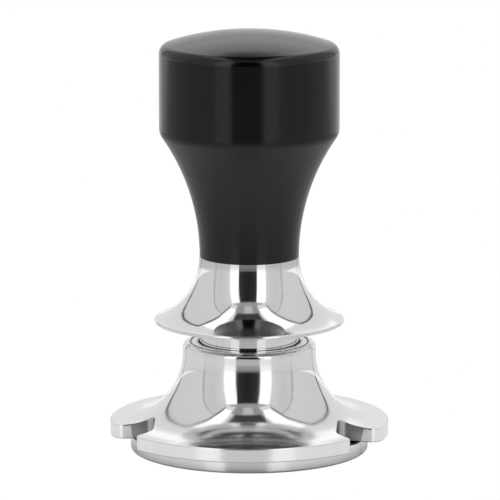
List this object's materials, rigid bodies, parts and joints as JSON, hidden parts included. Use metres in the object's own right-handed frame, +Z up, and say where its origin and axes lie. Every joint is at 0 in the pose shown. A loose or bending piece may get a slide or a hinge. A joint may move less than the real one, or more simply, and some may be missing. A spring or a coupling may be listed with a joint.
{
  "type": "espresso tamper",
  "caption": "Self-levelling espresso tamper: round steel base, floating collar with a notched rest flange, finger skirt and a black flared handle on a calibrated spring.",
  "frame": {"origin": "centre of the pressing base's underside", "axes": "+Z up along the turning axis; -Y towards the lobe of the collar's flange that lies between its two notches; +X to the right"},
  "size_m": [0.0686, 0.0686, 0.1039],
  "materials": {
    "black_anodised": "satin anodised",
    "polished_steel": "polished",
    "ground_steel": "fine ground",
    "spring_steel": "drawn wire",
    "bronze": "machined",
    "acetal": "smooth",
    "black_rubber": "matte"
  },
  "bodies": {
    "base": {"tamper_base": "polished_steel", "shaft": "ground_steel", "spring_stop": "ground_steel", "retaining_clip": "spring_steel", "bumper_washer": "black_rubber", "retaining_nut": "ground_steel", "spring_cup": "ground_steel"},
    "handle": {"handle_grip": "black_anodised", "finger_skirt": "polished_steel", "guide_sleeve": "polished_steel", "upper_bush": "bronze", "top_spring_seat": "ground_steel", "preload_shim": "ground_steel", "main_spring": "spring_steel"},
    "spring_seat": {"thrust_washer": "ground_steel", "return_spring": "spring_steel"},
    "collar": {"collar": "polished_steel", "collar_ring": "polished_steel", "wiper_ring": "black_rubber", "guide_bush": "acetal", "lower_bush": "bronze"}
  },
  "joints": [
    {"name": "handle_press", "type": "slide", "parent": "base", "child": "handle", "axis": [0, 0, -1], "range_m": [0, 0.0035], "stiffness_N_per_m": 12500, "springref_m": -0.008, "deforming": ["main_spring"]},
    {"name": "collar_lift", "type": "slide", "parent": "base", "child": "spring_seat", "axis": [0, 0, 1], "range_m": [0, 0.0045], "stiffness_N_per_m": 300, "springref_m": -0.02, "deforming": ["return_spring"]},
    {"name": "collar_swivel", "type": "hinge", "parent": "spring_seat", "child": "collar", "pos_m": [0, 0, 0.01], "axis": [0, 0, 1], "continuous": true}
  ]
}
